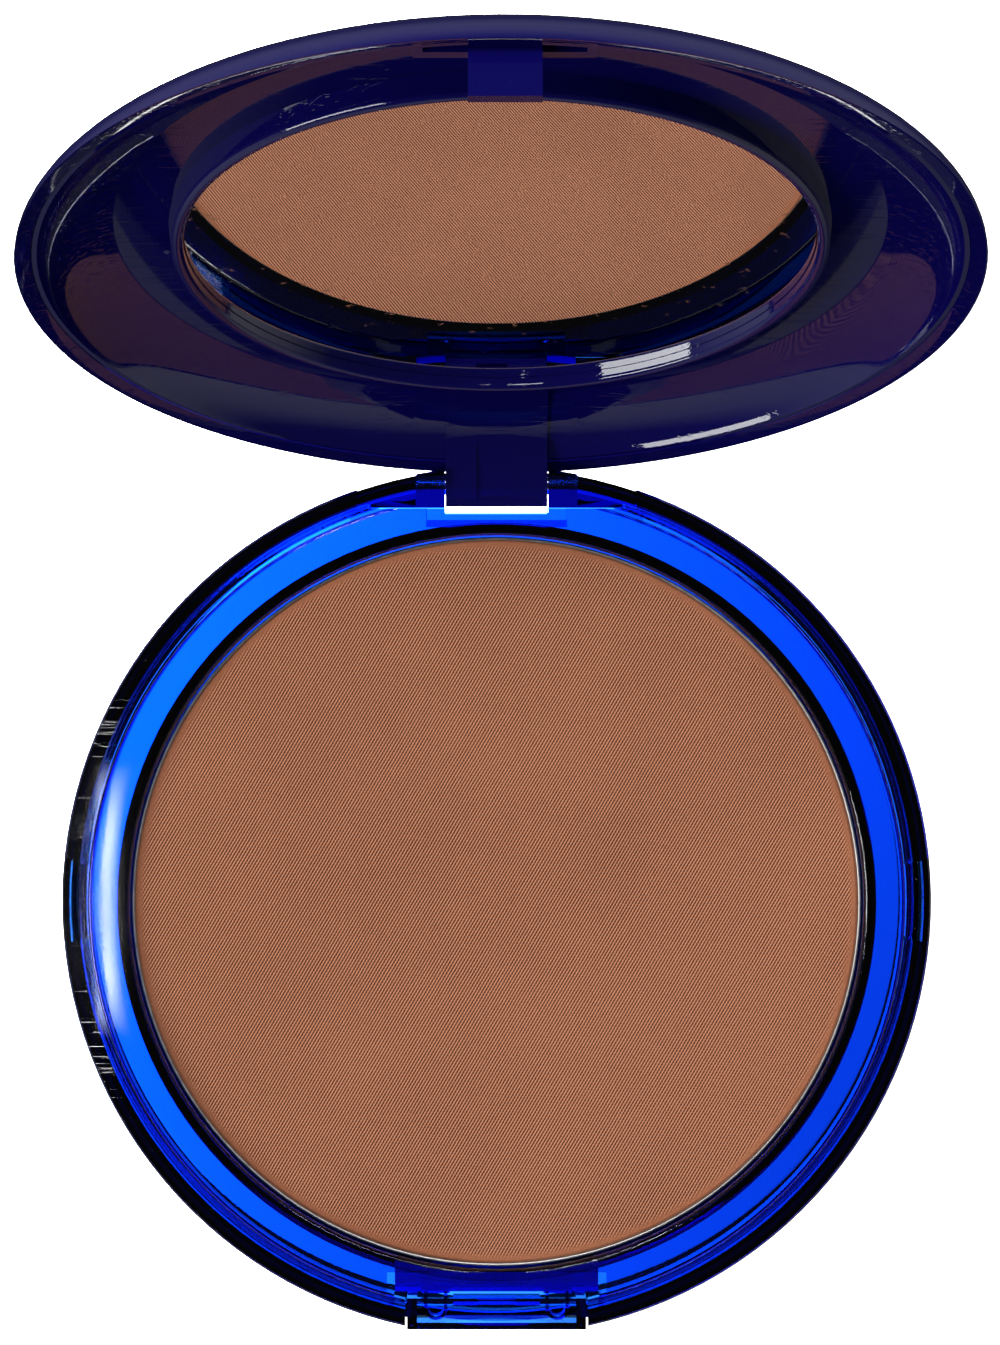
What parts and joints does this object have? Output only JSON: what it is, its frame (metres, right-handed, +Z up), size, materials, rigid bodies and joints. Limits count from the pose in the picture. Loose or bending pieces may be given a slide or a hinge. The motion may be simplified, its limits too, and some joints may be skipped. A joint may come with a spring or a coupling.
{
  "type": "powder compact",
  "caption": "Round hinged powder compact, lid open: translucent dish base with a raised deck and pressed powder, mirror in a domed lid, push-button catch.",
  "frame": {"origin": "centre of the base's flat underside, on the surface that the compact stands on", "axes": "+X to the right, +Y from the push button towards the hinge, +Z up; the lid is open against its stop"},
  "size_m": [0.1, 0.1389, 0.097],
  "materials": {
    "base_plastic": "clear cobalt blue, polished",
    "tray_plastic": "clear cobalt blue, polished",
    "button_plastic": "clear cobalt blue, polished",
    "lid_plastic": "deep navy blue, polished",
    "pan_metal": "satin",
    "powder": "matt pressed powder with a fine twill pattern",
    "adhesive": "matt",
    "pin_steel": "satin",
    "mirror": "polished"
  },
  "bodies": {
    "base": {"base_shell": "base_plastic", "inner_tray": "tray_plastic", "powder_pan": "pan_metal", "pressed_powder": "powder", "pan_adhesive": "adhesive", "hinge_pin": "pin_steel", "button_springs": "button_plastic"},
    "button": {"push_button": "button_plastic"},
    "lid": {"lid_shell": "lid_plastic", "lid_liner": "lid_plastic", "mirror_glass": "mirror", "mirror_adhesive": "adhesive"}
  },
  "joints": [
    {"name": "lid_hinge", "type": "hinge", "parent": "base", "child": "lid", "pos_m": [0, 0.0481, 0.0064], "axis": [1, 0, 0], "range_deg": [0, 111.4]},
    {"name": "button_press", "type": "slide", "parent": "base", "child": "button", "axis": [0, 1, 0], "range_m": [0, 0.0007], "stiffness_N_per_m": 2500, "springref_m": -0.0003, "deforming": ["button_springs"]}
  ]
}
